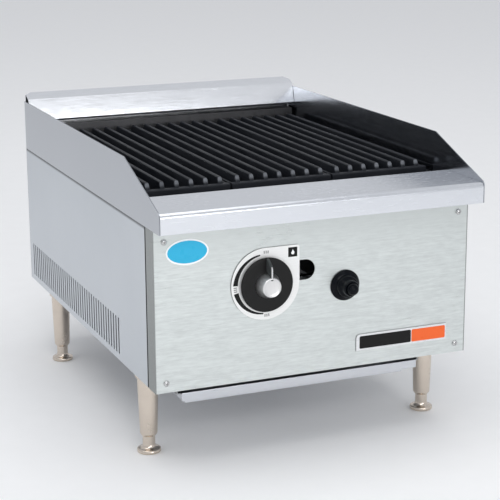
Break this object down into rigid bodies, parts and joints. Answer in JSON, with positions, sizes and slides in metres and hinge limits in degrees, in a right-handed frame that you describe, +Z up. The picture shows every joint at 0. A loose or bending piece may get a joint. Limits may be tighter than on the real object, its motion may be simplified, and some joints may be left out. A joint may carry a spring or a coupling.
{
  "type": "charbroiler grill",
  "caption": "Countertop gas charbroiler: steel cabinet on adjustable legs, slotted cast-iron grates between splash guards, control knob, push igniter and pull-out drip tray.",
  "frame": {"origin": "on the counter, under the middle of the overall box", "axes": "+X to the right seen from the front, +Y to the back, +Z up"},
  "size_m": [0.4, 0.591, 0.364],
  "materials": {
    "front_steel": "fine horizontal brushing, bright",
    "side_steel": "fine brushing, satin",
    "galvanised": "dull zinc coated sheet",
    "leg_nickel": "warm satin nickel plate",
    "cast_iron": "black, slightly rough, seasoned",
    "brass": "machined",
    "pipe_steel": "plain steel pipe and nuts",
    "aluminium": "machined",
    "copper": "drawn copper tube",
    "black_plastic": "black, semi-gloss",
    "ceramic": "white glazed ceramic",
    "dial_plate": "pale printed plate",
    "badge": "silver plate with a black field and an orange field",
    "sticker": "blue with a white rim"
  },
  "bodies": {
    "cabinet": {"left_side_panel": "side_steel", "right_side_panel": "side_steel", "front_panel": "front_steel", "back_panel": "galvanised", "front_ledge": "front_steel", "left_splash_guard": "side_steel", "right_splash_guard": "side_steel", "back_splash": "front_steel", "base_left_rail": "galvanised", "base_right_rail": "galvanised", "base_front_rail": "galvanised", "base_rear_rail": "galvanised", "tray_left_runner": "galvanised", "tray_right_runner": "galvanised", "front_left_leg": "leg_nickel", "front_right_leg": "leg_nickel", "rear_left_leg": "leg_nickel", "rear_right_leg": "leg_nickel", "firebox_front_wall": "galvanised", "firebox_rear_wall": "galvanised", "firebox_left_liner": "galvanised", "firebox_right_liner": "galvanised", "burner": "cast_iron", "left_radiant": "cast_iron", "right_radiant": "cast_iron", "radiant_front_support": "galvanised", "radiant_rear_support": "galvanised", "pilot_burner": "brass", "spark_electrode": "ceramic", "pilot_bracket": "galvanised", "gas_pipe": "pipe_steel", "gas_valve": "brass", "burner_orifice": "brass", "control_bezel": "dial_plate", "igniter_body": "black_plastic", "igniter_nut": "pipe_steel", "igniter_lead": "black_plastic", "pilot_tube": "copper", "lower_left_panel_screw": "leg_nickel", "upper_left_panel_screw": "leg_nickel", "lower_right_panel_screw": "leg_nickel", "upper_right_panel_screw": "leg_nickel", "badge_plate": "badge", "oval_sticker": "sticker"},
    "left_grate": {"left_grate": "cast_iron"},
    "centre_grate": {"centre_grate": "cast_iron"},
    "right_grate": {"right_grate": "cast_iron"},
    "drip_tray": {"drip_tray": "side_steel"},
    "valve_plunger": {"valve_plunger": "brass"},
    "control_knob": {"valve_stem": "aluminium", "control_knob": "black_plastic"},
    "igniter_button": {"igniter_button": "black_plastic"},
    "air_shutter": {"air_shutter": "pipe_steel"},
    "front_left_foot": {"front_left_foot": "leg_nickel"},
    "front_right_foot": {"front_right_foot": "leg_nickel"},
    "rear_left_foot": {"rear_left_foot": "leg_nickel"},
    "rear_right_foot": {"rear_right_foot": "leg_nickel"}
  },
  "joints": [
    {"name": "left_grate_lift", "type": "slide", "parent": "cabinet", "child": "left_grate", "axis": [0, 0, 1], "range_m": [0, 0.12]},
    {"name": "centre_grate_lift", "type": "slide", "parent": "cabinet", "child": "centre_grate", "axis": [0, 0, 1], "range_m": [0, 0.12]},
    {"name": "right_grate_lift", "type": "slide", "parent": "cabinet", "child": "right_grate", "axis": [0, 0, 1], "range_m": [0, 0.12]},
    {"name": "drip_tray_slide", "type": "slide", "parent": "cabinet", "child": "drip_tray", "axis": [0, -1, 0], "range_m": [0, 0.42]},
    {"name": "control_push", "type": "slide", "parent": "cabinet", "child": "valve_plunger", "axis": [0, 1, 0], "range_m": [0, 0.003], "stiffness_N_per_m": 1500, "springref_m": -0.002},
    {"name": "control_turn", "type": "hinge", "parent": "valve_plunger", "child": "control_knob", "pos_m": [-0.064, -0.27, 0.2104], "axis": [0, -1, 0], "range_deg": [0, 180]},
    {"name": "igniter_push", "type": "slide", "parent": "cabinet", "child": "igniter_button", "axis": [0, 1, 0], "range_m": [0, 0.006], "stiffness_N_per_m": 1500, "springref_m": -0.002},
    {"name": "air_shutter_turn", "type": "hinge", "parent": "cabinet", "child": "air_shutter", "pos_m": [-0.064, -0.186, 0.2104], "axis": [0, 1, 0], "range_deg": [0, 60]},
    {"name": "front_left_foot_height", "type": "slide", "parent": "cabinet", "child": "front_left_foot", "axis": [0, 0, -1], "range_m": [0, 0.02]},
    {"name": "front_right_foot_height", "type": "slide", "parent": "cabinet", "child": "front_right_foot", "axis": [0, 0, -1], "range_m": [0, 0.02]},
    {"name": "rear_left_foot_height", "type": "slide", "parent": "cabinet", "child": "rear_left_foot", "axis": [0, 0, -1], "range_m": [0, 0.02]},
    {"name": "rear_right_foot_height", "type": "slide", "parent": "cabinet", "child": "rear_right_foot", "axis": [0, 0, -1], "range_m": [0, 0.02]}
  ]
}
